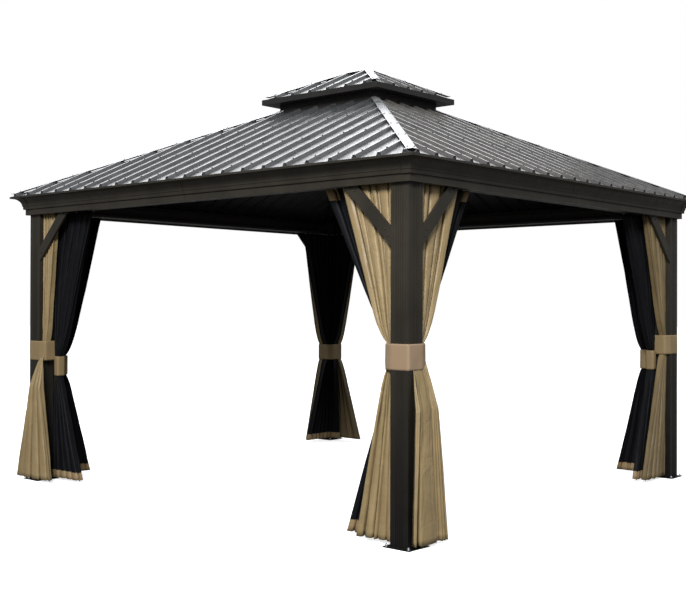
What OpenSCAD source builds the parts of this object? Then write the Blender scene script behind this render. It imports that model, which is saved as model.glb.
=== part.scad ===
// Double-tier hardtop gazebo: an open metal frame with two ribbed steel roofs and tied-back curtains.
// Origin: centre of the plan, on the floor. X runs along the long side, Z is up. Millimetres.

/* [Frame] */
// Length over the outer faces of the posts
frame_l = 3720; // [3000:10:4600]
// Width over the outer faces of the posts
frame_w = 3500; // [2800:10:4400]
// Height from the floor to the underside of the beams
clear_h = 2050; // [1800:10:2600]

/* [Posts] */
// Side of a square post
post_w = 128; // [90:1:170]
// Wall of a post
post_wall = 4; // [3:0.5:8]
// Depth of the flutes that run down each face
flute_d = 2; // [1:0.5:2.5]
// Width of one flute
flute_w = 7; // [4:1:12]
// Distance between the flutes of a pair
flute_pitch = 15; // [13:1:20]
// How far the square foot plate stands out from the post on every side
foot_margin = 31; // [28:1:50]
// Thickness of the foot plate
foot_t = 6; // [4:1:12]
// How far the middles of the anchor holes stand out from the post
anchor_out = 15; // [12:1:17]
// Diameter of an anchor hole
anchor_d = 12; // [8:1:14]

/* [Beams and braces] */
// How far the face board of a beam stands out from the posts
board_t = 27; // [15:1:40]
// Height of the face board
board_h = 120; // [80:1:160]
// Depth of the box that runs between the posts behind the board
box_t = 40; // [25:1:60]
// Step from the lower edge of the board up to the box
box_lift = 14; // [5:1:25]
// Reach of a knee brace along the beam, from the post's face
brace_reach = 356; // [250:1:480]
// Width of a knee brace across its slope
brace_w = 76; // [50:1:90]
// Thickness of a knee brace
brace_t = 16; // [12:1:24]

/* [Cornice] */
// How far the lip of the cornice stands out from the posts
lip_out = 112; // [90:1:140]
// Thickness of the lip
lip_t = 12; // [8:1:18]
// Largest radius of the hollow under the lip
cove_max = 60; // [40:1:64]
// Height of the flat strip below the hollow
strip_h = 24; // [16:1:32]
// How far the flat strip stands out from the board
strip_out = 13; // [8:1:18]
// Height of the board left open below the strip
reveal_h = 45; // [30:1:60]
// Leg of a cornice corner piece, from the corner of the face boards
corner_leg = 50; // [45:1:90]
// How far a corner piece stands proud of the cornice
corner_proud = 2; // [1:0.5:4]
// Gap where two lengths of cornice meet
seam = 4; // [1:0.5:5]

/* [Main roof] */
// Slope of both roofs in degrees
pitch = 24.6; // [18:0.2:32]
// How far the roof sheets stop short of the lip
sheet_set = 6; // [0:1:15]
// Thickness of the roof sheet
sheet_t = 3; // [2:0.5:5]
// Height of a roof rib
rib_h = 18; // [10:1:30]
// Width of a rib across its flat top
rib_top = 20; // [12:1:40]
// Width of a rib where it leaves the sheet
rib_foot = 38; // [30:1:60]
// Distance between ribs on the long slopes
rib_pitch_long = 182; // [120:1:240]
// Distance between ribs on the short slopes
rib_pitch_short = 172; // [120:1:240]
// Width of a hip cap on each side of the hip line, in plan
cap_half = 30; // [25:1:60]
// Thickness of a hip cap
cap_t = 2; // [1.5:0.5:4]
// Side of a square hip rafter
rafter_w = 45; // [30:1:70]

/* [Vent and top roof] */
// Length of the vent collar
collar_l = 975; // [700:5:1400]
// Width of the vent collar
collar_w = 762; // [560:5:1200]
// Thickness of the collar boards
collar_t = 18; // [10:1:30]
// Overhang of the top roof past the collar
top_over = 100; // [60:1:150]
// Height of the top roof's fascia
fascia_h = 41; // [25:1:70]
// Thickness of the top roof's fascia
fascia_t = 20; // [12:1:30]
// Clear height between the main roof and the underside of the fascia, at the collar
vent_h = 68; // [30:1:120]

/* [Curtains] */
// Thickness of a gathered curtain
drape_t = 60; // [30:1:66]
// Clearance between a curtain and what is beside it
drape_gap = 4; // [2:1:10]
// Height of the curtain hems above the floor
hem_z = 20; // [20:1:80]
// Height of a tie band
tie_h = 155; // [80:5:200]
// Thickness of a tie band
tie_t = 4; // [3:0.5:6]
// Height of the middle of the tie bands above the floor
tie_z = 1040; // [800:10:1300]
// How much lower the net bands sit than the curtain bands
net_drop = 120; // [100:5:200]
// Height of the curtain rails
rail_h = 18; // [12:1:30]

/* [Hidden] */

metal = [0.17, 0.16, 0.15];
roof_metal = [0.33, 0.34, 0.35];
cap_metal = [0.62, 0.63, 0.64];
khaki = [0.62, 0.53, 0.38];
net_black = [0.05, 0.05, 0.07];

eps = 0.01;
far = 20000;
strip_lean = 2;
lip_edge = 8;
cove_r = min(cove_max, lip_out - lip_edge - board_t - strip_out);
foot_w = post_w + 2 * foot_margin;
anchor_span = post_w + 2 * anchor_out;
post_top = clear_h + board_h;
strip_z = clear_h + reveal_h;
cove_z = strip_z + strip_h;
lip_z = cove_z + cove_r;
eave_z = lip_z + lip_t;
sheet_out = lip_out - sheet_set;
roof_l = frame_l + 2 * sheet_out;
roof_w = frame_w + 2 * sheet_out;
roof_run = (roof_w - collar_w) / 2;
collar_foot_z = eave_z + roof_run * tan(pitch);
top_l = collar_l + 2 * top_over;
top_w = collar_w + 2 * top_over;
fascia_z = collar_foot_z + vent_h;
top_eave_z = fascia_z + fascia_h;
top_sheet_l = top_l - 2 * fascia_t;
top_sheet_w = top_w - 2 * fascia_t;
ridge_l = top_sheet_l - top_sheet_w;
hip_gap = 4;
rafter_gap = 2;
collar_tuck = 45;
collar_rise = 30;
soffit_t = 4;
hip_slope = atan(tan(pitch) / sqrt(2));
rafter_depth = rafter_w / cos(hip_slope);
rafter_z = eave_z + (sheet_out + post_w / 2) * tan(pitch) - rafter_w / 2 * tan(pitch) - rafter_gap;
drape_top = clear_h + box_lift - drape_gap;
khaki_in = brace_t + drape_gap;
net_in = khaki_in + drape_t + tie_t + drape_gap;

// The four sides in turn: front, right, back and left. A side is drawn as the front one and turned.
function side_len(i, l, w) = i % 2 == 0 ? l : w;
function side_dist(i, l, w) = (i % 2 == 0 ? w : l) / 2;
module on_side(i) { rotate([0, 0, 90 * i]) children(); }

// The four corners: front left, front right, back right and back left. A corner is drawn with its
// outer post corner at the origin, with +X along one beam and +Y along the other, and then placed.
corner_signs = [[-1, -1], [1, -1], [1, 1], [-1, 1]];
module at_corner(c) {
    s = corner_signs[c];
    translate([s[0] * frame_l / 2, s[1] * frame_w / 2, 0])
        mirror([s[0] > 0 ? 1 : 0, 0, 0])
            mirror([0, s[1] > 0 ? 1 : 0, 0])
                children();
}

// ---- posts -------------------------------------------------------------------------------------

module flute(x) {
    translate([x - flute_w / 2, -eps, -eps])
        cube([flute_w, flute_d + eps, post_top + 2 * eps]);
}

module post_face_flutes() {
    for (side = [-1, 1], k = [0, 1])
        flute(post_w / 2 + side * (flute_pitch / 2 + k * flute_pitch));
}

module post(c) {
    color(metal)
        at_corner(c)
            difference() {
                translate([0, 0, foot_t])
                    cube([post_w, post_w, post_top - foot_t]);
                translate([post_wall + flute_d, post_wall + flute_d, 0])
                    cube([post_w - 2 * (post_wall + flute_d), post_w - 2 * (post_wall + flute_d), far]);
                for (q = [0:3])
                    translate([post_w / 2, post_w / 2, 0])
                        rotate([0, 0, 90 * q])
                            translate([-post_w / 2, -post_w / 2, 0])
                                post_face_flutes();
            }
}

module foot(c) {
    color(metal)
        at_corner(c)
            translate([post_w / 2, post_w / 2, 0])
                difference() {
                    translate([-foot_w / 2, -foot_w / 2, 0])
                        cube([foot_w, foot_w, foot_t]);
                    for (x = [-1, 1], y = [-1, 1])
                        translate([x * anchor_span / 2, y * anchor_span / 2, -eps])
                            cylinder(h = foot_t + 2 * eps, d = anchor_d, $fn = 48);
                }
}

// ---- beams and braces --------------------------------------------------------------------------

// A wedge-ended length, cut at 45 degrees at both corners of the frame.
module mitre_cut(i, out) {
    len = side_len(i, frame_l, frame_w);
    dist = side_dist(i, frame_l, frame_w);
    intersection() {
        children();
        linear_extrude(height = far)
            polygon([
                [-len / 2 - out, -dist - out], [len / 2 + out, -dist - out],
                [len / 2 - dist, 0], [-len / 2 + dist, 0]
            ]);
    }
}

module beam(i) {
    len = side_len(i, frame_l, frame_w);
    dist = side_dist(i, frame_l, frame_w);
    color(metal)
        on_side(i) {
            difference() {
                mitre_cut(i, board_t)
                    translate([-len / 2 - board_t, -dist - board_t, clear_h])
                        cube([len + 2 * board_t, board_t, board_h]);
                translate([-seam / 2, -dist - board_t - eps, clear_h - eps])
                    cube([seam, seam, reveal_h + eps]);
            }
            translate([-len / 2 + post_w, -dist - eps, clear_h + box_lift])
                cube([len - 2 * post_w, box_t + eps, board_h - 2 * box_lift]);
        }
}

// A sloping flat between the post's inner face and the underside of the beam's box.
module brace() {
    drop = brace_w * sqrt(2);
    head_z = clear_h + box_lift;
    reach = brace_reach + box_lift;
    translate([post_w, brace_t, 0])
        rotate([90, 0, 0])
            linear_extrude(height = brace_t)
                polygon([
                    [0, head_z - reach], [reach, head_z],
                    [reach - drop, head_z], [0, head_z - reach + drop]
                ]);
}

module braces(c) {
    color(metal)
        at_corner(c) {
            brace();
            mirror([1, -1, 0])
                brace();
        }
}

// ---- cornice -----------------------------------------------------------------------------------

// Section of the cornice as [distance out from the post, height], drawn proud by d.
function cornice_section(d) = concat(
    [
        [board_t, strip_z - d], [board_t + strip_out - strip_lean + d, strip_z - d],
        [board_t + strip_out + d, cove_z - d]
    ],
    [for (a = [0:10:90]) [
        lip_out - lip_edge + d - cove_r * cos(a),
        cove_z - d + cove_r * sin(a)
    ]],
    [[lip_out + d, lip_z - d], [lip_out + d, eave_z], [board_t, eave_z]]
);

// The cornice section run along one side between two stations measured from the middle.
module cornice_run(i, d, from, to) {
    dist = side_dist(i, frame_l, frame_w);
    mitre_cut(i, lip_out + d)
        translate([from, -dist, 0])
            rotate([90, 0, 90])
                linear_extrude(height = to - from)
                    polygon([for (p = cornice_section(d)) [-p[0], p[1]]]);
}

module cornice(i) {
    half = side_len(i, frame_l, frame_w) / 2 + board_t - corner_leg - seam / 2;
    color(metal)
        on_side(i) {
            cornice_run(i, 0, seam / 2, half);
            cornice_run(i, 0, -half, -seam / 2);
        }
}

module cornice_corners() {
    color(metal)
        for (i = [0:3]) {
            half = side_len(i, frame_l, frame_w) / 2;
            from = half + board_t - corner_leg + seam / 2;
            to = half + lip_out + corner_proud;
            on_side(i) {
                cornice_run(i, corner_proud, from, to);
                cornice_run(i, corner_proud, -to, -from);
            }
        }
}

// ---- ribbed roofs ------------------------------------------------------------------------------

// Plan of one slope: its eave, and the hip lines that close it towards the middle.
module slope_plan(len, run, inset) {
    polygon([
        [-len / 2 + inset * sqrt(2), 0], [len / 2 - inset * sqrt(2), 0],
        [len / 2 - run - inset * sqrt(2), run], [-len / 2 + run + inset * sqrt(2), run]
    ]);
}

// Lays its children on the slope: local Y runs up the slope and local Z stands square to it.
module tilt_up() { rotate([pitch, 0, 0]) children(); }

function rib_outline(x) = [
    [x - rib_foot / 2, 0], [x - rib_top / 2, rib_h],
    [x + rib_top / 2, rib_h], [x + rib_foot / 2, 0]
];

// Section of the ribbed sheet across a slope, with a rib on each side of the middle.
module ribbed_section(len, rib_pitch) {
    count = floor((len / 2 - rib_foot) / rib_pitch + 0.5);
    stations = [for (k = [-count:count - 1]) (k + 0.5) * rib_pitch];
    top = [for (x = stations) each rib_outline(x)];
    under = [for (p = top) [p[0], p[1] - sheet_t]];
    under_line = [for (k = [len(top) - 1:-1:0]) under[k]];
    polygon(concat(
        [[-len / 2, 0]], top, [[len / 2, 0], [len / 2, -sheet_t]],
        under_line, [[-len / 2, -sheet_t]]
    ));
}

module ribbed_slope(len, run, rib_pitch) {
    slant = run / cos(pitch);
    intersection() {
        tilt_up()
            translate([0, slant + rib_h * 2, 0])
                rotate([90, 0, 0])
                    linear_extrude(height = slant + rib_h * 4)
                        ribbed_section(len, rib_pitch);
        translate([0, 0, -far / 2])
            linear_extrude(height = far)
                slope_plan(len, run, hip_gap / 2);
    }
}

module main_roof(i) {
    len = side_len(i, roof_l, roof_w);
    dist = side_dist(i, roof_l, roof_w);
    color(roof_metal)
        on_side(i)
            translate([0, -dist, eave_z + sheet_t / cos(pitch)])
                ribbed_slope(len, roof_run, side_len(i, rib_pitch_long, rib_pitch_short));
}

module top_roof(i) {
    len = side_len(i, top_sheet_l, top_sheet_w);
    dist = side_dist(i, top_sheet_l, top_sheet_w);
    run = top_sheet_w / 2 - hip_gap;
    color(roof_metal)
        on_side(i)
            translate([0, -dist, top_eave_z + sheet_t / cos(pitch)])
                ribbed_slope(len, run, side_len(i, rib_pitch_long, rib_pitch_short));
}

// A shallow folded strip over one hip, from the eave corner at the origin up to where the hips end.
module hip_strip(run, z) {
    fold = cap_half * tan(pitch) / sqrt(2) * cos(hip_slope);
    translate([0, 0, z + (sheet_t + rib_h + eps) / cos(pitch)])
        rotate([0, 0, 45])
            rotate([0, -hip_slope, 0])
                translate([-cap_half, 0, 0])
                    rotate([90, 0, 90])
                        linear_extrude(height = run * sqrt(2) / cos(hip_slope) + 3 * cap_half)
                            polygon([
                                [-cap_half, -fold], [0, 0], [cap_half, -fold],
                                [cap_half, cap_t - fold], [0, cap_t], [-cap_half, cap_t - fold]
                            ]);
}

// Puts its children, drawn from an eave corner of a roof l by w, at all four corners.
module at_eave_corners(l, w) {
    for (c = [0:3]) {
        s = corner_signs[c];
        translate([s[0] * l / 2, s[1] * w / 2, 0])
            mirror([s[0] > 0 ? 1 : 0, 0, 0])
                mirror([0, s[1] > 0 ? 1 : 0, 0])
                    children();
    }
}

module hip_caps() {
    color(cap_metal)
        at_eave_corners(roof_l, roof_w)
            difference() {
                intersection() {
                    hip_strip(roof_run, eave_z);
                    cube(far);
                }
                translate([roof_run, roof_run, 0])
                    cube(far);
            }
}

module ridge_cap() {
    fold = cap_half * tan(pitch);
    peak_z = top_eave_z + (sheet_t + rib_h + eps) / cos(pitch) + top_sheet_w / 2 * tan(pitch);
    translate([-ridge_l / 2, 0, peak_z])
        rotate([90, 0, 90])
            linear_extrude(height = ridge_l)
                polygon([
                    [-cap_half, -fold], [0, 0], [cap_half, -fold],
                    [cap_half, cap_t - fold], [0, cap_t], [-cap_half, cap_t - fold]
                ]);
}

module top_caps() {
    run = top_sheet_w / 2;
    joint = seam / 2;
    color(cap_metal) {
        at_eave_corners(top_sheet_l, top_sheet_w)
            difference() {
                intersection() {
                    hip_strip(run, top_eave_z);
                    cube([far, run - joint, far]);
                }
                translate([run - joint, run - cap_half - joint, 0])
                    cube(far);
            }
        ridge_cap();
    }
}

// ---- under the roofs ---------------------------------------------------------------------------

module hip_rafter(c) {
    run = (roof_run - sheet_out - post_w / 2) * sqrt(2) - hip_gap;
    rise = run * tan(hip_slope);
    at_corner(c)
        translate([post_w / 2, post_w / 2, rafter_z])
            rotate([90, 0, 45])
                translate([0, 0, -rafter_w / 2])
                    linear_extrude(height = rafter_w)
                        polygon([[0, 0], [run, rise], [run, rise - rafter_depth], [0, -rafter_depth]]);
}

module rafter_stub(c) {
    at_corner(c)
        translate([(post_w - rafter_w) / 2, (post_w - rafter_w) / 2, post_top])
            cube([rafter_w, rafter_w, rafter_z - rafter_depth / 2 - post_top]);
}

module hip_rafters() {
    color(metal)
        for (c = [0:3])
            union() {
                hip_rafter(c);
                rafter_stub(c);
            }
}

module ring(l, w, t, h) {
    linear_extrude(height = h)
        difference() {
            square([l, w], center = true);
            square([l - 2 * t, w - 2 * t], center = true);
        }
}

module vent_collar() {
    low = collar_foot_z - collar_tuck;
    color(metal)
        translate([0, 0, low])
            ring(collar_l - hip_gap, collar_w - hip_gap, collar_t, top_eave_z + collar_rise - low);
}

module top_fascia() {
    color(metal)
        translate([0, 0, fascia_z])
            union() {
                ring(top_l, top_w, fascia_t, fascia_h);
                ring(top_l, top_w, top_over - seam, soffit_t);
            }
}

// ---- curtains ----------------------------------------------------------------------------------

module curtain_rail(i) {
    len = side_len(i, frame_l, frame_w);
    dist = side_dist(i, frame_l, frame_w);
    inset = post_w + drape_gap + net_in + drape_t;
    on_side(i)
        translate([-len / 2 + inset, -dist + box_t, clear_h + box_lift])
            cube([len - 2 * inset, net_in + drape_t - box_t, rail_h]);
}

module curtain_rails() {
    color(metal)
        for (i = [0:3])
            curtain_rail(i);
}

// A curtain starts beside its post, where the band draws it in, and its free hem a little further.
band_gap = 1;
near = post_w + drape_gap + band_gap;
hem_near = near + 7;

// How each curtain hangs: how far it spreads at the rail and at the hem, and how it is tied.
// One row a corner, and in it one entry for the beam along X and one for the beam along Y, each
// [khaki head, khaki hem from, khaki hem to, net head, net hem, khaki swept from, net tied alone].
// A curtain that is swept outside the post starts there below the band; -1 leaves it hanging inside.
// tie_shift is how much higher each corner is tied than the middle height.
drapes = [
    [[300, -100, 360, 660, 530, 125, true], [350, hem_near, 400, 600, 500, -1, true]],
    [[520, hem_near, 400, 710, 530, -1, false], [510, 0, 300, 730, 280, 40, false]],
    [[400, hem_near, 350, 500, 480, -1, true], [500, hem_near, 510, 700, 530, -1, true]],
    [[420, hem_near, 450, 475, 230, -1, false], [420, hem_near, 380, 500, 450, -1, false]]
];
tie_shift = [-40, 30, 12, -155];
waist_w = 48;
waist_far = near + waist_w;
alone_near = waist_far + 2 * (tie_t + drape_gap);
alone_far = alone_near + waist_w;

// A gathered curtain drawn from station to station down its length, set in from the post's face.
module drape_length(upper, lower, z_upper, z_lower, in) {
    translate([0, in + drape_t, 0])
        rotate([90, 0, 0])
            linear_extrude(height = drape_t)
                polygon([
                    [upper[0], z_upper], [lower[0], z_lower], [lower[1], z_lower], [upper[1], z_upper]
                ]);
}

// Spread at the rail, drawn in at the tie and spread again at the hem. head, waist, skirt and hem are
// [nearest, furthest] along the beam from the outer post corner, and hem_in sets the skirt in.
module drape(head, waist, skirt, hem, tie_mid, in, hem_in) {
    waist_lo = tie_mid - tie_h / 2 - drape_gap;
    waist_hi = tie_mid + tie_h / 2 + drape_gap;
    union() {
        drape_length(head, waist, drape_top, waist_hi, in);
        drape_length(waist, waist, waist_hi + eps, waist_lo - eps, in);
        drape_length(skirt, hem, waist_lo, hem_z, hem_in);
        if (hem_in != in)
            translate([waist[0], hem_in, waist_lo - waist_w])
                cube([waist[1] - waist[0], in + drape_t - hem_in, waist_w]);
    }
}

module khaki_curtain(row, tie_mid) {
    swept = row[5] >= 0;
    drape(
        [near, row[0]], [near, waist_far], [swept ? row[5] : near, waist_far], [row[1], row[2]],
        tie_mid, khaki_in, swept ? -drape_t - drape_gap : khaki_in
    );
}

module net_curtain(row, tie_mid) {
    waist = row[6] ? [alone_near, alone_far] : [near, waist_far];
    drape(
        [near, row[3]], waist, waist, [near, row[4]],
        tie_mid - (row[6] ? net_drop : 0), net_in, net_in
    );
}

module curtains(c) {
    color(khaki)
        at_corner(c) {
            khaki_curtain(drapes[c][0], tie_z + tie_shift[c]);
            mirror([1, -1, 0])
                khaki_curtain(drapes[c][1], tie_z + tie_shift[c]);
        }
}

module nets(c) {
    color(net_black)
        at_corner(c) {
            net_curtain(drapes[c][0], tie_z + tie_shift[c]);
            mirror([1, -1, 0])
                net_curtain(drapes[c][1], tie_z + tie_shift[c]);
        }
}

// Plan of a band drawn tight round a post and the waists beside it, at clearance d from them.
function band_plan(d) = [
    [-d, -d], [post_w, -d], [waist_far + d, khaki_in - d], [waist_far + d, net_in + drape_t],
    [net_in + drape_t, waist_far + d], [khaki_in - d, waist_far + d], [-d, post_w]
];

module post_band() {
    linear_extrude(height = tie_h)
        difference() {
            polygon(band_plan(band_gap + tie_t));
            polygon(band_plan(band_gap));
        }
}

module net_band() {
    long = waist_w + 2 * band_gap;
    deep = drape_t + 2 * band_gap;
    translate([alone_near - band_gap, net_in - band_gap, -net_drop])
        difference() {
            translate([-tie_t, -tie_t, 0])
                cube([long + 2 * tie_t, deep + 2 * tie_t, tie_h]);
            translate([0, 0, -eps])
                cube([long, deep, tie_h + 2 * eps]);
        }
}

module tie_bands() {
    color(khaki)
        for (c = [0:3])
            at_corner(c)
                translate([0, 0, tie_z + tie_shift[c] - tie_h / 2]) {
                    post_band();
                    if (drapes[c][0][6])
                        net_band();
                    if (drapes[c][1][6])
                        mirror([1, -1, 0])
                            net_band();
                }
}

post(0);  // post_front_left
post(1);  // post_front_right
post(2);  // post_back_right
post(3);  // post_back_left
foot(0);  // foot_front_left
foot(1);  // foot_front_right
foot(2);  // foot_back_right
foot(3);  // foot_back_left
beam(0);  // beam_front
beam(1);  // beam_right
beam(2);  // beam_back
beam(3);  // beam_left
braces(0);  // braces_front_left
braces(1);  // braces_front_right
braces(2);  // braces_back_right
braces(3);  // braces_back_left
cornice(0);  // cornice_front
cornice(1);  // cornice_right
cornice(2);  // cornice_back
cornice(3);  // cornice_left
cornice_corners();
main_roof(0);  // roof_front
main_roof(1);  // roof_right
main_roof(2);  // roof_back
main_roof(3);  // roof_left
hip_caps();
hip_rafters();
vent_collar();
top_roof(0);  // top_roof_front
top_roof(1);  // top_roof_right
top_roof(2);  // top_roof_back
top_roof(3);  // top_roof_left
top_fascia();
top_caps();
curtain_rails();
curtains(0);  // curtains_front_left
curtains(1);  // curtains_front_right
curtains(2);  // curtains_back_right
curtains(3);  // curtains_back_left
nets(0);  // nets_front_left
nets(1);  // nets_front_right
nets(2);  // nets_back_right
nets(3);  // nets_back_left
tie_bands();
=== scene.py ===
import math
import random

import bmesh
import bpy
from mathutils import Matrix, Vector, noise


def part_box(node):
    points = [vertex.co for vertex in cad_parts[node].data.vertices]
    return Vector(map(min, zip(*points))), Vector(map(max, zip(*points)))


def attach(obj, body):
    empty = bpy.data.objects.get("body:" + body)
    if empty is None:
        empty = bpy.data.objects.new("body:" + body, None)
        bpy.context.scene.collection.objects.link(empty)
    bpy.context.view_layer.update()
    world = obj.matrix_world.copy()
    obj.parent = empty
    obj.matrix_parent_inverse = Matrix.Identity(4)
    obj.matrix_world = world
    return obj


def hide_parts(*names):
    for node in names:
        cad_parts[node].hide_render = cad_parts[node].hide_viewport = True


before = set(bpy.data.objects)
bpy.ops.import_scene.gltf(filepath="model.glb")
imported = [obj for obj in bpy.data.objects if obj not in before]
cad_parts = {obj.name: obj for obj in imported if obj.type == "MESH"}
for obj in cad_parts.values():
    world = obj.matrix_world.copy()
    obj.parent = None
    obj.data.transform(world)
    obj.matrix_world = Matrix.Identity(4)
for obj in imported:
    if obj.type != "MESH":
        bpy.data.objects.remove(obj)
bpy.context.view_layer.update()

TAU = 2 * math.pi

# The frame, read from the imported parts. A corner's curtains are placed from its outer post corner.
CORNERS = ("front_left", "front_right", "back_right", "back_left")
CORNER_SIGNS = {"front_left": (-1, -1), "front_right": (1, -1), "back_right": (1, 1), "back_left": (-1, 1)}
POST_LOW, POST_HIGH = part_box("post_front_right")
FRAME_LENGTH = 2 * POST_HIGH[0]
FRAME_WIDTH = -2 * POST_LOW[1]
POST_SIDE = POST_HIGH[0] - POST_LOW[0]

# The curtains' own sizes, in metres, as the solids they stand for have them.
CLOTH_DEPTH = 0.060
CURTAIN_IN = 0.020
NET_IN = 0.088
TIED_NEAR = POST_SIDE + 0.005
TIED_FAR = TIED_NEAR + 0.048
TIED_ALONE = (TIED_FAR + 0.016, TIED_FAR + 0.064)
HEAD_Z = 2.060
HEM_Z = 0.020
BAND_HEIGHT = 0.155
BAND_Z = {"front_left": 1.000, "front_right": 1.070, "back_right": 1.052, "back_left": 0.885}
NET_BAND_DROP = 0.120
SWEPT_DEPTH = (-0.064, -0.004)


def random_for(name):
    return random.Random(sum(ord(letter) * (place + 7) for place, letter in enumerate(name)))


def at_corner(corner, along, depth, height, second_side):
    """A point measured from the outer corner of a post: along a beam, in from its face, and up."""
    sign_x, sign_y = CORNER_SIGNS[corner]
    in_x, in_y = (depth, along) if second_side else (along, depth)
    return (sign_x * (FRAME_LENGTH / 2 - in_x), sign_y * (FRAME_WIDTH / 2 - in_y), height)


# ---- camera, floor and light --------------------------------------------------------------------

def add_camera():
    """A camera a little under head height, off the front right corner."""
    camera_data = bpy.data.cameras.new("gazebo_camera")
    camera = bpy.data.objects.new("gazebo_camera", camera_data)
    bpy.context.scene.collection.objects.link(camera)
    camera_data.sensor_width = 36.0
    camera_data.lens = 57.24
    camera_data.clip_end = 200.0
    tilt_up = math.radians(0.33)
    turn = math.radians(41.09)
    lean = math.radians(0.15)
    camera.location = (5.568, -6.557, 1.371)
    look = Matrix.Rotation(turn, 4, "Z") @ Matrix.Rotation(math.pi / 2 + tilt_up, 4, "X")
    camera.rotation_euler = (look @ Matrix.Rotation(lean, 4, "Z")).to_euler()
    bpy.context.scene.camera = camera


def add_floor():
    """A pale floor that throws little light back up, as grass or dark paving would."""
    bpy.ops.mesh.primitive_circle_add(vertices=96, radius=60.0, fill_type="NGON", location=(0, 0, 0))
    floor = bpy.context.object
    floor.name = "studio_floor"
    material = bpy.data.materials.new("studio_floor")
    material.use_nodes = True
    nodes = material.node_tree.nodes
    shader = nodes["Principled BSDF"]
    shader.inputs["Roughness"].default_value = 0.9
    shader.inputs["Specular IOR Level"].default_value = 0.1
    seen = nodes.new("ShaderNodeLightPath")
    paint = nodes.new("ShaderNodeMix")
    paint.data_type = "RGBA"
    paint.inputs["A"].default_value = (0.10, 0.098, 0.092, 1.0)
    paint.inputs["B"].default_value = (0.90, 0.90, 0.90, 1.0)
    shader.inputs["Emission Strength"].default_value = 0.75
    material.node_tree.links.new(seen.outputs["Is Camera Ray"], paint.inputs["Factor"])
    material.node_tree.links.new(paint.outputs["Result"], shader.inputs["Base Color"])
    material.node_tree.links.new(paint.outputs["Result"], shader.inputs["Emission Color"])
    floor.data.materials.append(material)


def add_area_light(name, place, target, size, power):
    light_data = bpy.data.lights.new(name, "AREA")
    light_data.shape = "DISK"
    light_data.size = size
    light_data.energy = power
    light = bpy.data.objects.new(name, light_data)
    light.location = place
    aim = Vector(target) - Vector(place)
    light.rotation_euler = aim.to_track_quat("-Z", "Y").to_euler()
    light.visible_camera = False
    bpy.context.scene.collection.objects.link(light)


def add_studio_light():
    """A pale dome, bright overhead and dimmer towards the ground, and one soft key light."""
    world = bpy.data.worlds.new("pale_studio")
    world.use_nodes = True
    nodes = world.node_tree.nodes
    links = world.node_tree.links
    backdrop = nodes["Background"]
    backdrop.inputs["Color"].default_value = (1.0, 1.0, 1.0, 1.0)
    backdrop.inputs["Strength"].default_value = 1.0
    direction = nodes.new("ShaderNodeTexCoord")
    split = nodes.new("ShaderNodeSeparateXYZ")
    links.new(direction.outputs["Generated"], split.inputs[0])
    height = nodes.new("ShaderNodeValToRGB")
    height.color_ramp.elements[0].position = 0.10
    height.color_ramp.elements[0].color = (0.22, 0.225, 0.23, 1.0)
    height.color_ramp.elements[1].position = 0.45
    height.color_ramp.elements[1].color = (0.90, 0.95, 1.0, 1.0)
    links.new(split.outputs["Z"], height.inputs["Fac"])
    dome = nodes.new("ShaderNodeBackground")
    dome.inputs["Strength"].default_value = 0.85
    links.new(height.outputs["Color"], dome.inputs["Color"])
    seen = nodes.new("ShaderNodeLightPath")
    choose = nodes.new("ShaderNodeMixShader")
    links.new(seen.outputs["Is Camera Ray"], choose.inputs["Fac"])
    links.new(dome.outputs[0], choose.inputs[1])
    links.new(backdrop.outputs[0], choose.inputs[2])
    links.new(choose.outputs[0], nodes["World Output"].inputs["Surface"])
    bpy.context.scene.world = world
    bpy.context.scene.view_settings.view_transform = "Standard"
    add_area_light("front_soft", (7.2, -10.7, 7.9), (0, 0, 1.2), 3.6, 2300)
    add_area_light("back_left_panel", (-10.6, 6.6, 8.6), (0, 0, 2.4), 10.0, 520)
    add_area_light("back_right_panel", (-7.0, 11.0, 8.6), (0, 0, 2.4), 8.0, 320)


# ---- finishes -----------------------------------------------------------------------------------

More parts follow.
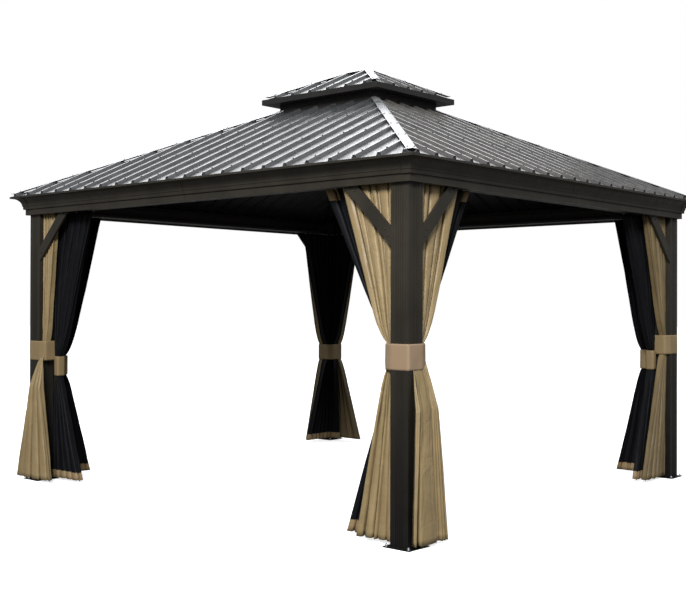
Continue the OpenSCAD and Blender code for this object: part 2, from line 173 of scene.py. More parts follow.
class Finish:
    """A procedural finish: its shader, and short ways to add the textures that feed it."""

    def __init__(self, name):
        self.material = bpy.data.materials.new(name)
        self.material.use_nodes = True
        self.nodes = self.material.node_tree.nodes
        self.links = self.material.node_tree.links
        self.shader = self.nodes["Principled BSDF"]
        self.place = self.nodes.new("ShaderNodeTexCoord")

    def fixed(self, **values):
        for name, value in values.items():
            self.shader.inputs[name.replace("_", " ")].default_value = value

    def scaled(self, scale, turn=(0, 0, 0), source="Object"):
        mapping = self.nodes.new("ShaderNodeMapping")
        mapping.inputs["Scale"].default_value = scale
        mapping.inputs["Rotation"].default_value = turn
        self.links.new(self.place.outputs[source], mapping.inputs["Vector"])
        return mapping.outputs[0]

    def grain(self, vector, scale, detail=3.0, roughness=0.55, distortion=0.0):
        texture = self.nodes.new("ShaderNodeTexNoise")
        texture.inputs["Scale"].default_value = scale
        texture.inputs["Detail"].default_value = detail
        texture.inputs["Roughness"].default_value = roughness
        texture.inputs["Distortion"].default_value = distortion
        self.links.new(vector, texture.inputs["Vector"])
        return texture.outputs[0]

    def stripes(self, vector, scale, direction="X", distortion=0.0):
        texture = self.nodes.new("ShaderNodeTexWave")
        texture.bands_direction = direction
        texture.inputs["Scale"].default_value = scale
        texture.inputs["Distortion"].default_value = distortion
        self.links.new(vector, texture.inputs["Vector"])
        return texture.outputs["Fac"]

    def ramp(self, value, stops):
        node = self.nodes.new("ShaderNodeValToRGB")
        elements = node.color_ramp.elements
        while len(elements) < len(stops):
            elements.new(0.5)
        for element, (position, colour) in zip(elements, stops):
            element.position = position
            element.color = (*colour, 1.0) if hasattr(colour, "__len__") else (colour, colour, colour, 1.0)
        self.links.new(value, node.inputs["Fac"])
        return node.outputs["Color"]

    def blend(self, amount, first, second, mode="MIX"):
        node = self.nodes.new("ShaderNodeMix")
        node.data_type = "RGBA"
        node.blend_type = mode
        sockets = (node.inputs["Factor"], node.inputs["A"], node.inputs["B"])
        for socket, value in zip(sockets, (amount, first, second)):
            if hasattr(value, "is_linked"):
                self.links.new(value, socket)
            elif hasattr(value, "__len__"):
                socket.default_value = (*value, 1.0)
            else:
                socket.default_value = value
        return node.outputs["Result"]

    def sum(self, first, second, operation="ADD"):
        node = self.nodes.new("ShaderNodeMath")
        node.operation = operation
        for socket, value in zip(node.inputs, (first, second)):
            if hasattr(value, "is_linked"):
                self.links.new(value, socket)
            else:
                socket.default_value = value
        return node.outputs[0]

    def relief(self, height, strength, distance, under=None):
        node = self.nodes.new("ShaderNodeBump")
        node.inputs["Strength"].default_value = strength
        node.inputs["Distance"].default_value = distance
        self.links.new(height, node.inputs["Height"])
        if under is not None:
            self.links.new(under, node.inputs["Normal"])
        return node.outputs[0]

    def feed(self, **sources):
        for name, source in sources.items():
            self.links.new(source, self.shader.inputs[name.replace("_", " ")])


def bronze_coat(name, light, dark, roughness):
    """Dark powder coat with painted shade, darker towards the ground: orange-peel skin, faint dust and rubbed
    patches.
    """
    finish = Finish(name)
    dust = finish.grain(finish.scaled((1, 1, 0.4)), 5.0, detail=6.0)
    # Painted shade: the colour falls to 0.14 of itself near the floor, for the shade low on the posts.
    rise = finish.nodes.new("ShaderNodeSeparateXYZ")
    finish.links.new(finish.scaled((1, 1, 0.5)), rise.inputs[0])
    painted_low_shade = finish.ramp(rise.outputs["Z"], [(0.04, 0.14), (0.74, 1.0)])
    coat = finish.ramp(dust, [(0.34, dark), (0.66, light)])
    finish.feed(Base_Color=finish.blend(1.0, coat, painted_low_shade, "MULTIPLY"))
    finish.fixed(Specular_IOR_Level=0.34)
    worn = finish.grain(finish.scaled((1, 1, 1)), 14.0, detail=4.0)
    finish.feed(Roughness=finish.ramp(worn, [(0.3, roughness - 0.07), (0.7, roughness + 0.09)]))
    peel = finish.grain(finish.scaled((1, 1, 1)), 420.0, detail=1.0)
    finish.feed(Normal=finish.relief(peel, 0.18, 0.0006))
    return finish.material


def ribbed_sheet_coat(name, along_y, dark, light):
    """Coated steel sheet: glossy and dark, with rolling streaks and a slow oil-canned waviness, and painted
    shade on its underside.
    """
    finish = Finish(name)
    across = (1.0, 0.12, 1.0) if along_y else (0.12, 1.0, 1.0)
    streaks = finish.grain(finish.scaled(across), 70.0, detail=5.0, roughness=0.6)
    mottle = finish.grain(finish.scaled((1, 1, 1)), 9.0, detail=5.0)
    tone = finish.blend(0.5, streaks, mottle)
    face = finish.ramp(tone, [(0.36, dark), (0.64, light)])
    # Painted shade: faces turned down take a near-black colour, with a duller finish, for the shade under the
    # roof.
    facing = finish.nodes.new("ShaderNodeNewGeometry")
    split = finish.nodes.new("ShaderNodeSeparateXYZ")
    finish.links.new(facing.outputs["True Normal"], split.inputs[0])
    top_vs_painted_shade_underside = finish.sum(split.outputs["Z"], 0.0, "GREATER_THAN")
    finish.feed(Base_Color=finish.blend(top_vs_painted_shade_underside, (0.012, 0.012, 0.013), face))
    finish.fixed(IOR=1.62)
    smooth_top = finish.ramp(tone, [(0.35, 0.18), (0.65, 0.38)])
    finish.feed(Roughness=finish.blend(top_vs_painted_shade_underside, (0.6, 0.6, 0.6), smooth_top))
    canning = finish.grain(finish.scaled((1, 1, 1)), 4.5, detail=2.0)
    scratches = finish.grain(finish.scaled(across), 160.0, detail=2.0)
    slow = finish.relief(canning, 0.5, 0.012)
    finish.feed(Normal=finish.relief(scratches, 0.25, 0.0008, under=slow))
    return finish.material


def roof_cap_coat():
    """Pale grey folded flashing with a soft metallic sheen and a little weathering."""
    finish = Finish("hip_cap_grey")
    weather = finish.grain(finish.scaled((1, 1, 1)), 11.0, detail=6.0)
    finish.feed(Base_Color=finish.ramp(weather, [(0.3, (0.27, 0.275, 0.28)), (0.7, (0.38, 0.385, 0.39))]))
    finish.feed(Roughness=finish.ramp(weather, [(0.3, 0.24), (0.7, 0.4)]))
    finish.fixed(Metallic=0.55)
    brushed = finish.grain(finish.scaled((1, 1, 1)), 180.0, detail=2.0)
    finish.feed(Normal=finish.relief(brushed, 0.15, 0.0006))
    return finish.material


def woven_cloth(name, dark, light, gloss, roughness, weave, crease):
    """Polyester cloth: a fine weave along its own threads, soft creases and a low satin gloss."""
    finish = Finish(name)
    fabric = finish.scaled((1, 1, 1), source="UV")
    fade = finish.grain(finish.scaled((1.0, 0.6, 1.0), source="UV"), 2.6, detail=3.0)
    finish.feed(Base_Color=finish.ramp(fade, [(0.36, dark), (0.64, light)]))
    finish.feed(Roughness=finish.ramp(fade, [(0.3, roughness - 0.05), (0.7, roughness + 0.06)]))
    finish.fixed(Sheen_Weight=0.1 * gloss, Sheen_Roughness=0.4, Specular_IOR_Level=gloss)
    warp = finish.stripes(fabric, weave, "X")
    weft = finish.stripes(fabric, weave, "Y")
    threads = finish.relief(finish.sum(warp, weft), 0.12, 0.0004)
    long_folds = finish.grain(finish.scaled((4.0, 0.9, 1.0), source="UV"), 2.2, detail=2.0, distortion=0.4)
    slanting = finish.scaled((1.6, 2.6, 1.0), (0, 0, 0.7), "UV")
    cross_folds = finish.grain(slanting, 2.6, detail=3.0, distortion=0.8)
    creases = finish.sum(long_folds, finish.sum(cross_folds, 0.6, "MULTIPLY"))
    finish.feed(Normal=finish.relief(creases, crease, 0.03, under=threads))
    return finish.material


def fastener_metal(name, colour, roughness, metallic):
    """Small turned metal: an even coat with faint handling marks."""
    finish = Finish(name)
    marks = finish.grain(finish.scaled((1, 1, 1)), 260.0, detail=3.0)
    finish.feed(Base_Color=finish.ramp(marks, [(0.3, [0.75 * part for part in colour]), (0.7, colour)]))
    finish.feed(Roughness=finish.ramp(marks, [(0.3, roughness - 0.08), (0.7, roughness + 0.08)]))
    finish.fixed(Metallic=metallic)
    return finish.material


def make_finishes():
    return {
        "screw": fastener_metal("painted_screw", (0.10, 0.105, 0.11), 0.4, 0.4),
        "closure": fastener_metal("closure_foam", (0.05, 0.051, 0.053), 0.6, 0.0),
        "cap_screw": fastener_metal("pale_screw", (0.46, 0.47, 0.48), 0.35, 0.6),
        "bolt": fastener_metal("bronze_bolt", (0.026, 0.023, 0.019), 0.45, 0.0),
        "zinc": fastener_metal("zinc_plate", (0.52, 0.53, 0.54), 0.36, 0.9),
        # The bronze coats carry painted shade towards the ground; the feet sit in its darkest part.
        "frame": bronze_coat("bronze_powder_coat", (0.026, 0.022, 0.0155), (0.017, 0.0142, 0.0098), 0.44),
        "vent": bronze_coat("vent_dark_coat", (0.016, 0.0145, 0.013), (0.010, 0.009, 0.008), 0.5),
        "foot": bronze_coat("dark_foot_coat", (0.026, 0.024, 0.022), (0.014, 0.013, 0.012), 0.5),
        "sheet_x": ribbed_sheet_coat(
            "charcoal_sheet_front_and_back", True, (0.030, 0.031, 0.032), (0.064, 0.065, 0.066)
        ),
        # Painted light: the side slopes' sheet is a lighter, warmer copy of the same paint, for the light
        # those slopes catch.
        "sheet_y_painted_light": ribbed_sheet_coat(
            "charcoal_sheet_sides_painted_light", False, (0.034, 0.032, 0.029), (0.078, 0.073, 0.066)
        ),
        "cap": roof_cap_coat(),
        "khaki": woven_cloth(
            "khaki_curtain_cloth", (0.212, 0.152, 0.072), (0.275, 0.200, 0.098), 0.42, 0.46, 900.0, 0.6
        ),
        # Painted shade: a darker copy of the khaki cloth for the back corners, which stand in shade.
        "khaki_painted_shade": woven_cloth(
            "khaki_curtain_cloth_back", (0.130, 0.093, 0.043), (0.178, 0.129, 0.062), 0.36, 0.5, 900.0, 0.6
        ),
        "band": woven_cloth(
            "near_band_cloth", (0.240, 0.166, 0.102), (0.268, 0.188, 0.118), 0.3, 0.6, 900.0, 0.12
        ),
        "far_band": woven_cloth(
            "khaki_band_cloth", (0.190, 0.135, 0.066), (0.240, 0.172, 0.088), 0.3, 0.55, 900.0, 0.12
        ),
        "net": woven_cloth(
            "black_netting", (0.0028, 0.0030, 0.0042), (0.0045, 0.0048, 0.0065), 0.12, 0.6, 500.0, 0.4
        ),
        "khaki_hem": woven_cloth(
            "net_hem_tape", (0.230, 0.158, 0.080), (0.300, 0.212, 0.112), 0.3, 0.5, 900.0, 0.25
        ),
    }


def dress_frame(finishes):
    for name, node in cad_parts.items():
        if name.startswith(("roof_", "top_roof_")):
            finish = finishes["sheet_x" if name.endswith(("front", "back")) else "sheet_y_painted_light"]
        elif name in ("hip_caps", "top_caps"):
            finish = finishes["cap"]
        elif name in ("vent_collar", "top_fascia", "hip_rafters", "curtain_rails"):
            finish = finishes["vent"]
        elif name.startswith("foot_"):
            finish = finishes["foot"]
        elif name.startswith("curtains"):
            finish = finishes["khaki"]
        elif name.startswith("nets"):
            finish = finishes["net"]
        elif name == "tie_bands":
            finish = finishes["band"]
        else:
            finish = finishes["frame"]
        node.data.materials.clear()
        node.data.materials.append(finish)


# ---- curtains and nets --------------------------------------------------------------------------

def fold_plan(widths, count, seed):
    """Where the folds of a gather lie: the shares of the cloth that each takes, and their drift."""
    source = random.Random(seed)
    shares = list(widths) if widths else [source.uniform(0.7, 1.35) for _ in range(count)]
    return {
        "shares": shares,
        "drift": [
            (source.uniform(0.10, 0.26), source.uniform(0.5, 1.5), source.uniform(0, TAU)) for _ in shares
        ],
        "reach": [
            (source.uniform(0.80, 0.98), source.uniform(0.4, 1.3), source.uniform(0, TAU)) for _ in shares
        ],
    }


def fold_section(plan, columns, fall, lap, face, flatness):
    """One level of a gather: (share across, -1 at the back to 1 at the front) for each column.

    fall is how far down the cloth the level is. lap turns the folds under one another, and face
    makes their fronts broader than their backs, where a tuck takes up more of the cloth. The last
    fold ends at its front, as a hem does.
    """
    widths = [
        share * (1 + size * math.sin(TAU * rate * fall + start))
        for share, (size, rate, start) in zip(plan["shares"], plan["drift"])
    ]
    widths[-1] *= 0.5
    cloth = [*plan["shares"][:-1], plan["shares"][-1] * 0.5]
    cloth_total = sum(cloth)
    points = []
    for column in range(columns):
        run = column / (columns - 1) * cloth_total
        fold = 0
        across = 0.0
        while fold < len(cloth) - 1 and run > cloth[fold]:
            run -= cloth[fold]
            across += widths[fold]
            fold += 1
        last = fold == len(cloth) - 1
        turn = min(run / cloth[fold], 1.0) * (0.5 if last else 1.0)
        wide = widths[fold] * (2.0 if last else 1.0)
        step = turn + lap * math.sin(2 * TAU * turn) / (2 * TAU) - face * math.sin(TAU * turn) / TAU
        low, rate, start = plan["reach"][fold]
        reach = low + (1 - low) * math.sin(TAU * rate * fall + start)
        front = math.tanh(flatness * -math.cos(TAU * turn)) / math.tanh(flatness)
        from_back = min(turn, 1.0 - turn)
        tuck = 1.25 * math.exp(-(from_back / 0.075) ** 2)
        points.append((across + wide * step, front * reach + tuck))
    least = min(point[0] for point in points)
    most = max(point[0] for point in points)
    return [((across - least) / (most - least), front) for across, front in points]


def lean_in(share):
    """How a gathered edge runs from its tie, at 0, out to its head, at 1."""
    return 0.87 * share + 0.13 * (1 - math.exp(-share / 0.06))


def between(low, high, share):
    return low + (high - low) * share


def level_edges(hang, height):
    """The near and far edges of a gather at a height, and how deep it stands."""
    tie_top = hang["tie_z"] + BAND_HEIGHT / 2
    tie_bottom = hang["tie_z"] - BAND_HEIGHT / 2
    inside = hang["depth"]
    if height >= tie_top:
        share = lean_in((height - tie_top) / (HEAD_Z - tie_top))
        near = between(hang["waist"][0], hang["head"][0], share)
        return near, between(hang["waist"][1], hang["head"][1], share), inside
    if height > tie_bottom:
        share = min(1.0, (tie_top - height) / BAND_HEIGHT)
        turn = max(0.0, min(1.0, share * 2.0 - 0.9))
        skirt = hang["skirt"]
        return (
            between(hang["waist"][0], skirt[0], turn), between(hang["waist"][1], skirt[1], turn),
            tuple(between(a, b, turn) for a, b in zip(inside, hang["skirt_top"])),
        )
    share = (tie_bottom - height) / (tie_bottom - HEM_Z)
    spread = 0.93 * share + 0.07 * (1 - math.exp(-share / 0.05))
    settle = min(1.0, share / 0.22)
    return (
        between(hang["skirt"][0], hang["hem"][0], spread), between(hang["skirt"][1], hang["hem"][1], spread),
        tuple(between(a, b, settle) for a, b in zip(hang["skirt_top"], hang["skirt_depth"])),
    )


def gather_heights(hang):
    """Levels down the cloth: close together at the tie, wider apart in the long falls."""
    tie_top = hang["tie_z"] + BAND_HEIGHT / 2
    tie_bottom = hang["tie_z"] - BAND_HEIGHT / 2
    upper = [between(HEAD_Z, tie_top, (step / 34) ** 0.9) for step in range(35)]
    middle = [between(tie_top, tie_bottom, step / 8) for step in range(1, 8)]
    lower = [between(tie_bottom, HEM_Z, (step / 30) ** 1.15) for step in range(31)]
    return upper + middle + lower


def hang_cloth(name, hang, finish, hem_finish=None, columns=128):
    """A tied-back sheet: gathered along its head, drawn in at its tie and falling free below."""
    source = random_for(name)
    upper = fold_plan(hang.get("upper"), hang["folds"], source.random())
    lower = fold_plan(hang.get("lower"), hang["skirt_folds"], source.random())
    offset = source.uniform(0, 50)
    heights = gather_heights(hang)
    mesh = bpy.data.meshes.new(name)
    cloth = bpy.data.objects.new(name, mesh)
    bpy.context.scene.collection.objects.link(cloth)
    sheet = bmesh.new()
    rows = []
    fall_total = HEAD_Z - HEM_Z
    for height in heights:
        near, far, (outer, inner) = level_edges(hang, height)
        fall = (HEAD_Z - height) / fall_total
        tie_top = hang["tie_z"] + BAND_HEIGHT / 2
        below = max(0.0, min(1.0, (tie_top - height) / BAND_HEIGHT))
        pinch = math.exp(-abs(height - hang["tie_z"]) / 0.16)
        top_section = fold_section(upper, columns, fall, hang["lap"], hang["face"], 0.9 + pinch)
        low_section = fold_section(lower, columns, fall, hang["skirt_lap"], hang["skirt_face"], 0.9 + pinch)
        head_crush = math.exp(-(HEAD_Z - height) / 0.10)
        middle = (outer + inner) / 2
        reach = max(0.0004, (inner - outer) / 2 - 0.0035)
        row = []
        for column in range(columns):
            across = between(top_section[column][0], low_section[column][0], below)
            front = between(top_section[column][1], low_section[column][1], below)
            thread = column / (columns - 1)
            crush = 0.0011 + 0.0030 * pinch * (1 - pinch) * 4 * 0.5 + 0.0022 * head_crush
            ripple = noise.noise(Vector((thread * 17 + offset, height * 9, 1.7)))
            fine = noise.noise(Vector((thread * 41 + offset, height * 26 + thread * 18, 8.1)))
            slow = noise.noise(Vector((thread * 5 + offset, height * 2.3, 4.4)))
            depth = middle - reach * front * 0.96 + 0.0035 * slow + crush * (ripple + 0.6 * fine)
            edge = min(0.002, (inner - outer) / 3)
            depth = max(outer + edge, min(inner - edge, depth))
            along = near + (far - near) * across + 0.002 * ripple * (far - near) / 0.3
            along = max(near + 0.001, min(far - 0.001, along))
            lift = 0.0
            if height == heights[-1]:
                lift = 0.006 * (0.5 - 0.5 * front) + 0.004 * abs(slow)
            if height == heights[0]:
                lift = -0.004 * (0.5 - 0.5 * front)
            spot = at_corner(hang["corner"], along, depth, height + lift, hang["second_side"])
            row.append(sheet.verts.new(spot))
        rows.append(row)
    threads = sheet.loops.layers.uv.new("threads")
    hem_rows = [place for place, height in enumerate(heights) if height < HEM_Z + 0.048]
    for place in range(len(rows) - 1):
        for column in range(columns - 1):
            upper_edge = (rows[place][column], rows[place][column + 1])
            lower_edge = (rows[place + 1][column + 1], rows[place + 1][column])
            face = sheet.faces.new(upper_edge + lower_edge)
            face.smooth = True
            heading = place < 2 and column > columns * hang.get("heading_from", 1.0)
            if hem_finish and (place + 1 in hem_rows or heading):
                face.material_index = 1
            spots = ((place, column), (place, column + 1), (place + 1, column + 1), (place + 1, column))
            for loop, (level, thread) in zip(face.loops, spots):
                loop[threads].uv = (thread / (columns - 1) * hang["cut"], heights[level] - HEM_Z)
    bmesh.ops.recalc_face_normals(sheet, faces=sheet.faces)
    sheet.to_mesh(mesh)
    sheet.free()
    mesh.materials.append(finish)
    if hem_finish:
        mesh.materials.append(hem_finish)
    give_thickness(cloth, 0.0014)
    return cloth


def give_thickness(piece, thickness):
    bpy.ops.object.select_all(action="DESELECT")
    bpy.context.view_layer.objects.active = piece
    piece.select_set(True)
    modifier = piece.modifiers.new("cloth_thickness", "SOLIDIFY")
    modifier.thickness = thickness
    modifier.offset = 0.0
    bpy.ops.object.modifier_apply(modifier=modifier.name)
    bpy.ops.object.mode_set(mode="EDIT")
    bpy.ops.mesh.select_all(action="SELECT")
    bpy.ops.mesh.normals_make_consistent(inside=False)
    bpy.ops.object.mode_set(mode="OBJECT")
    piece.select_set(False)


# For each corner, first the curtain along the front or back beam and then the one along the side
# beam: head, hem and net spreads from the outer post corner, and where a swept skirt starts.
CURTAIN_SPREADS = {
    "front_left": [
        (0.300, -0.100, 0.360, 0.660, 0.530, 0.125, True),
        (0.350, 0.140, 0.400, 0.600, 0.500, None, True),
    ],
    "front_right": [
        (0.520, 0.140, 0.400, 0.710, 0.530, None, False),
        (0.510, 0.0, 0.300, 0.730, 0.280, 0.040, False),
    ],
    "back_right": [
        (0.400, 0.140, 0.350, 0.500, 0.480, None, True),
        (0.500, 0.140, 0.510, 0.700, 0.530, None, True),
    ],
    "back_left": [
        (0.420, 0.140, 0.450, 0.475, 0.230, None, False),
        (0.420, 0.140, 0.380, 0.500, 0.450, None, False),
    ],
}


def hang_corner(corner, finishes):
    curtain_pieces = []
    net_pieces = []
    for second_side, spread in enumerate(CURTAIN_SPREADS[corner]):
        head, hem_from, hem_to, net_head, net_hem, swept_from, alone = spread
        side = ("end_beam" if second_side else "long_beam")
        inside = (CURTAIN_IN, CURTAIN_IN + CLOTH_DEPTH)
        swept = swept_from is not None
        skirt_top = (-0.0046, -0.0006) if swept else inside
        curtain = {
            "corner": corner, "second_side": bool(second_side), "tie_z": BAND_Z[corner],
            "head": (TIED_NEAR, head), "waist": (TIED_NEAR, TIED_FAR), "hem": (hem_from, hem_to),
            "skirt": (swept_from if swept else TIED_NEAR, TIED_FAR), "depth": inside,
            "skirt_top": skirt_top, "skirt_depth": SWEPT_DEPTH if swept else inside,
            "folds": 6, "skirt_folds": 5, "lap": 1.5, "face": 0.6, "skirt_lap": 1.5, "skirt_face": 0.6,
            "cut": 0.94,
        }
        if corner == "front_right" and not second_side:
            curtain.update(upper=(0.6, 1.2, 0.6, 1.5, 0.8, 2.4), lower=(0.9, 1.3, 0.7, 1.4, 2.2))
        if corner == "front_right" and second_side:
            curtain.update(upper=(0.7, 0.5, 1.3, 0.7, 2.6), lower=(0.35, 6.0, 0.6, 0.7, 0.9))
        # The back corners take the darker khaki copy, painted shade.
        cloth_finish = finishes["khaki" if corner.startswith("front") else "khaki_painted_shade"]
        curtain_pieces.append((hang_cloth(f"curtain_{corner}_{side}", curtain, cloth_finish), curtain["cut"]))
        tied = TIED_ALONE if alone else (TIED_NEAR, TIED_FAR)
        within = (NET_IN, NET_IN + CLOTH_DEPTH)
        net = {
            "corner": corner, "second_side": bool(second_side),
            "tie_z": BAND_Z[corner] - (NET_BAND_DROP if alone else 0.0),
            "head": (TIED_NEAR, net_head), "waist": tied, "hem": (TIED_NEAR, net_hem),
            "skirt": tied, "depth": within, "skirt_top": within, "skirt_depth": within,
            "folds": 6, "skirt_folds": 6, "lap": 1.6, "face": 0.8, "skirt_lap": 1.6, "skirt_face": 0.8,
            "cut": 1.04, "heading_from": 0.86 if corner == "front_right" else 1.0,
        }
        hung_net = hang_cloth(f"net_{corner}_{side}", net, finishes["net"], finishes["khaki_hem"])
        net_pieces.append((hung_net, net["cut"]))
    for piece, cut in curtain_pieces:
        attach(piece, "root")
        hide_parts(f"curtains_{corner}")
    for piece, cut in net_pieces:
        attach(piece, "root")
        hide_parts(f"nets_{corner}")


def hang_band(name, corner, second_side, outline, middle_z, finish):
    """A cloth band drawn tight round an outline in plan, given from the outer post corner."""
    source = random_for(name)
    offset = source.uniform(0, 40)
    path = []
    for place, start in enumerate(outline):
        end = outline[(place + 1) % len(outline)]
        steps = max(2, round(math.dist(start, end) / 0.009))
        path += [[between(start[axis], end[axis], step / steps) for axis in (0, 1)] for step in range(steps)]
    for _ in range(2):
        path = [
            [
                0.25 * path[place - 1][axis] + 0.5 * path[place][axis]
                + 0.25 * path[(place + 1) % len(path)][axis] for axis in (0, 1)
            ] for place in range(len(path))
        ]
    lengths = [0.0]
    for place, point in enumerate(path):
        lengths.append(lengths[-1] + math.dist(point, path[(place + 1) % len(path)]))
    centre = [sum(point[axis] for point in path) / len(path) for axis in (0, 1)]
    mesh = bpy.data.meshes.new(name)
    band = bpy.data.objects.new(name, mesh)
    bpy.context.scene.collection.objects.link(band)
    strip = bmesh.new()
    threads = strip.loops.layers.uv.new("threads")
    rows = []
    count = 14
    for level in range(count + 1):
        share = level / count
        row = []
        for place, point in enumerate(path):
            out = Vector(point) - Vector(centre)
            out.normalize()
            spot = Vector((point[0] * 14 + offset, point[1] * 14, share * 2.4))
            pull = 0.0011 * noise.noise(spot) - 0.0007 * abs(2 * share - 1) ** 4
            height = middle_z + (share - 0.5) * (BAND_HEIGHT - 0.006)
            edge_wave = noise.noise(Vector((point[0] * 9 + offset, point[1] * 9, 5.0)))
            height += 0.0024 * edge_wave * abs(2 * share - 1)
            along, depth = point[0] + out[0] * pull, point[1] + out[1] * pull
            row.append(strip.verts.new(at_corner(corner, along, depth, height, second_side)))
        rows.append(row)
    for level in range(count):
        for place in range(len(path)):
            beside = (place + 1) % len(path)
            face = strip.faces.new(
                (rows[level][place], rows[level][beside], rows[level + 1][beside], rows[level + 1][place])
            )
            face.smooth = True
            spots = ((place, level), (place + 1, level), (place + 1, level + 1), (place, level + 1))
            for loop, (step, rise) in zip(face.loops, spots):
                loop[threads].uv = (lengths[step], rise / count * BAND_HEIGHT)
    bmesh.ops.recalc_face_normals(strip, faces=strip.faces)
    strip.to_mesh(mesh)
    strip.free()
    mesh.materials.append(finish)
    give_thickness(band, 0.0022)
    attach(band, "root")
    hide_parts("tie_bands")


def tie_corner(corner, finishes):
    slack = 0.003
    inner = NET_IN + CLOTH_DEPTH
    band_finish = finishes["band" if corner == "front_right" else "far_band"]
    outline = [
        (-slack, -slack), (POST_SIDE, -slack),
        (TIED_FAR + slack, CURTAIN_IN - slack), (TIED_FAR + slack, inner),
        (inner, TIED_FAR + slack), (CURTAIN_IN - slack, TIED_FAR + slack), (-slack, POST_SIDE),
    ]
    hang_band(
        f"post_band_{corner}", corner, False, outline, BAND_Z[corner], band_finish
    )
    for second_side, spread in enumerate(CURTAIN_SPREADS[corner]):
        if not spread[6]:
            continue
        side = ("end_beam" if second_side else "long_beam")
        near, far = TIED_ALONE
        outline = [
            (near - slack, NET_IN - slack), (far + slack, NET_IN - slack),
            (far + slack, inner + slack), (near - slack, inner + slack),
        ]
        hang_band(
            f"net_band_{corner}_{side}", corner, bool(second_side), outline,
            BAND_Z[corner] - NET_BAND_DROP, band_finish
        )


# ---- bolts, screws, hooks and closures ----------------------------------------------------------

def start_piece(name):
    """Names the primitive just added and goes into edit mode with nothing selected."""
    piece = bpy.context.object
    piece.name = name
    bpy.ops.object.mode_set(mode="EDIT")
    bpy.ops.mesh.select_all(action="DESELECT")
    return piece


def pick_faces(piece, wanted):
    """Selects the faces whose middle and normal are wanted, and nothing else."""
    bpy.ops.mesh.select_all(action="DESELECT")
    bpy.ops.mesh.select_mode(type="FACE")
    edit = bmesh.from_edit_mesh(piece.data)
    for face in edit.faces:
        face.select_set(wanted(face.calc_center_median(), face.normal))
    bmesh.update_edit_mesh(piece.data)


def end_piece(piece, finish, bevel=0.0, smooth=40):
    bpy.ops.object.mode_set(mode="OBJECT")
    if bevel:
        modifier = piece.modifiers.new("soft_edges", "BEVEL")
        modifier.width = bevel
        modifier.segments = 1
        modifier.limit_method = "ANGLE"
        bpy.ops.object.modifier_apply(modifier=modifier.name)
    bpy.ops.object.transform_apply(location=True, rotation=True, scale=True)
    bpy.ops.object.shade_smooth_by_angle(angle=math.radians(smooth))
    piece.data.materials.clear()
    piece.data.materials.append(finish)
    piece.select_set(False)
    return piece


def model_screw(finish):
    """A hex-head roofing screw with its flange and sealing washer, standing up along Z."""
    bpy.ops.object.select_all(action="DESELECT")
    bpy.ops.mesh.primitive_cylinder_add(vertices=12, radius=0.0062, depth=0.0014, location=(0, 0, 0.0007))
    screw = start_piece("roof_screw")
    pick_faces(screw, lambda middle, normal: normal.z > 0.9)
    bpy.ops.mesh.inset(thickness=0.0022)
    bpy.ops.mesh.extrude_region_move(TRANSFORM_OT_translate={"value": (0, 0, 0.0026)})
    bpy.ops.mesh.inset(thickness=0.0012)
    bpy.ops.transform.translate(value=(0, 0, 0.0005))
    return end_piece(screw, finish)


def model_bolt(finish, radius, stands):
    """A bolt end standing up along Z: washer, hex nut and the rounded end of its thread."""
    bpy.ops.object.select_all(action="DESELECT")
    bpy.ops.mesh.primitive_cylinder_add(
        vertices=18, radius=radius * 2.1, depth=radius * 0.36, location=(0, 0, radius * 0.18)
    )
    bolt = start_piece("bolt_end")
    bpy.ops.mesh.primitive_cylinder_add(
        vertices=6, radius=radius * 1.75, depth=radius * 1.5, location=(0, 0, radius * 1.11)
    )
    pick_faces(bolt, lambda middle, normal: normal.z > 0.9 and middle.z > radius * 1.5)
    bpy.ops.mesh.inset(thickness=radius * 0.3)
    bpy.ops.transform.translate(value=(0, 0, radius * 0.14))
    if stands:
        bpy.ops.mesh.primitive_cylinder_add(
            vertices=12, radius=radius * 0.95, depth=stands, location=(0, 0, radius * 1.9 + stands / 2)
        )
        top = radius * 1.9 + stands
        pick_faces(bolt, lambda middle, normal: normal.z > 0.9 and middle.z > top - radius * 0.1)
        bpy.ops.mesh.inset(thickness=radius * 0.22)
        bpy.ops.transform.translate(value=(0, 0, radius * 0.18))
    return end_piece(bolt, finish, bevel=radius * 0.06)


def model_closure(finish, foot, top, height, depth):
    """A rib closure: a block that fills a rib's open end, wide at the sheet and narrow on top."""
    bpy.ops.object.select_all(action="DESELECT")
    bpy.ops.mesh.primitive_cube_add(
        size=1.0, location=(0, depth / 2, height / 2), scale=(foot, depth, height)
    )
    closure = start_piece("rib_closure")
    pick_faces(closure, lambda middle, normal: normal.z > 0.9)
    bpy.ops.transform.resize(value=(top / foot, 1.0, 1.0), center_override=(0, depth / 2, height))
    pick_faces(closure, lambda middle, normal: normal.y < -0.9)
    bpy.ops.mesh.inset(thickness=height * 0.14)
    bpy.ops.transform.translate(value=(0, depth * 0.14, 0))
    return end_piece(closure, finish)


def model_hook(finish):
    """A curtain hook: a small ring standing in the plane that crosses the rail."""
    bpy.ops.object.select_all(action="DESELECT")
    bpy.ops.mesh.primitive_torus_add(
        major_segments=14, minor_segments=6, major_radius=0.0085, minor_radius=0.0012,
        rotation=(math.pi / 2, 0, 0),
    )
    hook = start_piece("curtain_hook")
    pick_faces(hook, lambda middle, normal: middle.z > 0.0072)
    bpy.ops.transform.translate(value=(0, 0, 0.0016))
    return end_piece(hook, finish)


def set_copies(name, master, places):
    """Copies the master, each copy with its own mesh, to its places, and joins them as one piece."""
    bpy.ops.object.select_all(action="DESELECT")
    made = []
    for place in places:
        copy = master.copy()
        copy.data = master.data.copy()
        copy.data.transform(place)
        bpy.context.scene.collection.objects.link(copy)
        made.append(copy)
    for copy in made:
        copy.select_set(True)
    bpy.context.view_layer.objects.active = made[0]
    bpy.ops.object.join()
    piece = bpy.context.object
    piece.name = name
    piece.select_set(False)
    bpy.data.objects.remove(master)
    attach(piece, "root")
    return piece


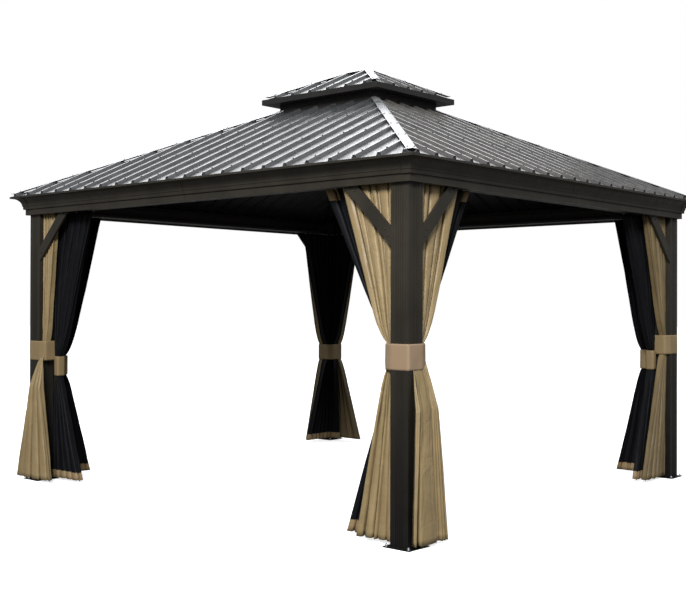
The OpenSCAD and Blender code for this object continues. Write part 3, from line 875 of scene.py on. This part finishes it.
def along_slope(side, across, up, length, width, eave_z, lift):
    """The place of something that stands square on a slope: across the side and up from its eave."""
    distance = (width if side % 2 == 0 else length) / 2
    turn = Matrix.Rotation(side * math.pi / 2, 4, "Z")
    start = Matrix.Translation((across, -distance, eave_z))
    tilt = Matrix.Rotation(ROOF_PITCH, 4, "X")
    return turn @ start @ tilt @ Matrix.Translation((0, up, lift))


ROOF_PITCH = math.radians(24.6)
SHEET_THICK = 0.003
RIB_HEIGHT = 0.018
RIB_FOOT = 0.038
RIB_TOP = 0.020
RIB_PITCH = (0.182, 0.172)


def rib_stations(length, pitch):
    count = math.floor((length / 2 - RIB_FOOT) / pitch + 0.5)
    return [(place + 0.5) * pitch for place in range(-count, count)]


def roof_tiers():
    """Each tier: its length and width over the eaves, the height of its eave and its slopes' run."""
    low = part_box("roof_right"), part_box("roof_front")
    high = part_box("top_roof_right"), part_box("top_roof_front")
    tiers = []
    for (right, front), collar in ((low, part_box("vent_collar")), (high, None)):
        length = 2 * right[1][0]
        width = -2 * front[0][1]
        run = width / 2 - (collar[1][1] if collar else 0.004)
        tiers.append((length, width, front[0][2] + SHEET_THICK / math.cos(ROOF_PITCH), run))
    return tiers


def add_roof_hardware(finishes):
    screws = []
    closures = []
    for length, width, eave_z, run in roof_tiers():
        slant = run / math.cos(ROOF_PITCH)
        for side in range(4):
            side_length = (length, width)[side % 2]
            for across in rib_stations(side_length, RIB_PITCH[side % 2]):
                closures.append(along_slope(side, across, 0.004, length, width, eave_z, -SHEET_THICK))
                reach = (side_length / 2 - abs(across)) / math.cos(ROOF_PITCH)
                longest = min(slant, reach) - 0.11
                ups = [up for up in (0.09, 0.60, 1.10) if up < longest]
                screws += [along_slope(side, across, up, length, width, eave_z, RIB_HEIGHT) for up in ups]
    set_copies("roof_screws", model_screw(finishes["screw"]), screws)
    foot, top = RIB_FOOT - 0.003, RIB_TOP - 0.003
    closure = model_closure(finishes["closure"], foot, top, RIB_HEIGHT - 0.0008, 0.014)
    set_copies("rib_closures", closure, closures)


def add_cap_screws(finishes):
    places = []
    for (length, width, eave_z, run), gap in zip(roof_tiers(), (0.42, 0.30)):
        slope = math.atan(math.tan(ROOF_PITCH) / math.sqrt(2))
        lift = RIB_HEIGHT / math.cos(ROOF_PITCH) + 0.002
        total = run * math.sqrt(2) / math.cos(slope)
        for sign_x, sign_y in CORNER_SIGNS.values():
            heading = math.atan2(-sign_y, -sign_x)
            start = Matrix.Translation((sign_x * length / 2, sign_y * width / 2, eave_z + lift))
            for step in range(int((total - 0.16) / gap) + 1):
                for flank in (-1, 1):
                    fold = math.atan(math.tan(ROOF_PITCH) / math.sqrt(2) * math.cos(slope))
                    turn = Matrix.Rotation(heading, 4, "Z") @ Matrix.Rotation(-slope, 4, "Y")
                    tilt = Matrix.Rotation(-flank * fold, 4, "X")
                    seat = Matrix.Translation((0.08 + step * gap, 0, 0)) @ tilt
                    places.append(start @ turn @ seat @ Matrix.Translation((0, flank * 0.020, 0.0003)))
    set_copies("cap_screws", model_screw(finishes["cap_screw"]), places)


def add_brace_bolts(finishes):
    places = []
    thick = 0.016
    low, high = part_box("braces_front_left")
    reach = high[2] - low[2]
    start = low[2]
    for corner in CORNERS:
        for second_side in (False, True):
            sign_x, sign_y = CORNER_SIGNS[corner]
            facing = Vector((sign_x, 0, 0)) if second_side else Vector((0, sign_y, 0))
            low_end = ((0.022, 0.062), (0.040, 0.100))
            high_end = ((reach - 0.062, reach - 0.022), (reach - 0.1, reach - 0.04))
            for along, height in low_end + high_end:
                spot = at_corner(corner, POST_SIDE + along, 0.0, start + height, second_side)
                places.append(Matrix.Translation(spot) @ facing.to_track_quat("Z", "Y").to_matrix().to_4x4())
    set_copies("brace_bolts", model_bolt(finishes["bolt"], 0.0030, 0.0), places)


def add_anchor_bolts(finishes):
    places = []
    for corner in CORNERS:
        low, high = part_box(f"foot_{corner}")
        middle = [(a + b) / 2 for a, b in zip(low, high)]
        for x in (-0.079, 0.079):
            for y in (-0.079, 0.079):
                places.append(Matrix.Translation((middle[0] + x, middle[1] + y, high[2])))
    set_copies("anchor_bolts", model_bolt(finishes["zinc"], 0.005, 0.006), places)


def add_hooks(finishes):
    places = []
    for corner in CORNERS:
        for second_side, spread in enumerate(CURTAIN_SPREADS[corner]):
            for head, depth, count in ((spread[0], 0.050, 8), (spread[3], NET_IN + CLOTH_DEPTH / 2, 11)):
                for step in range(count):
                    along = between(TIED_NEAR + 0.012, head - 0.012, step / (count - 1))
                    spot = at_corner(corner, along, depth, HEAD_Z - 0.0015, bool(second_side))
                    quarter_turn = Matrix.Rotation(math.pi / 2 * (1 - second_side), 4, "Z")
                    places.append(Matrix.Translation(spot) @ quarter_turn)
    set_copies("curtain_hooks", model_hook(finishes["zinc"]), places)


add_camera()
add_floor()
add_studio_light()
finishes = make_finishes()
dress_frame(finishes)
for corner in CORNERS:
    hang_corner(corner, finishes)
    tie_corner(corner, finishes)
add_roof_hardware(finishes)
add_cap_screws(finishes)
add_brace_bolts(finishes)
add_anchor_bolts(finishes)
add_hooks(finishes)
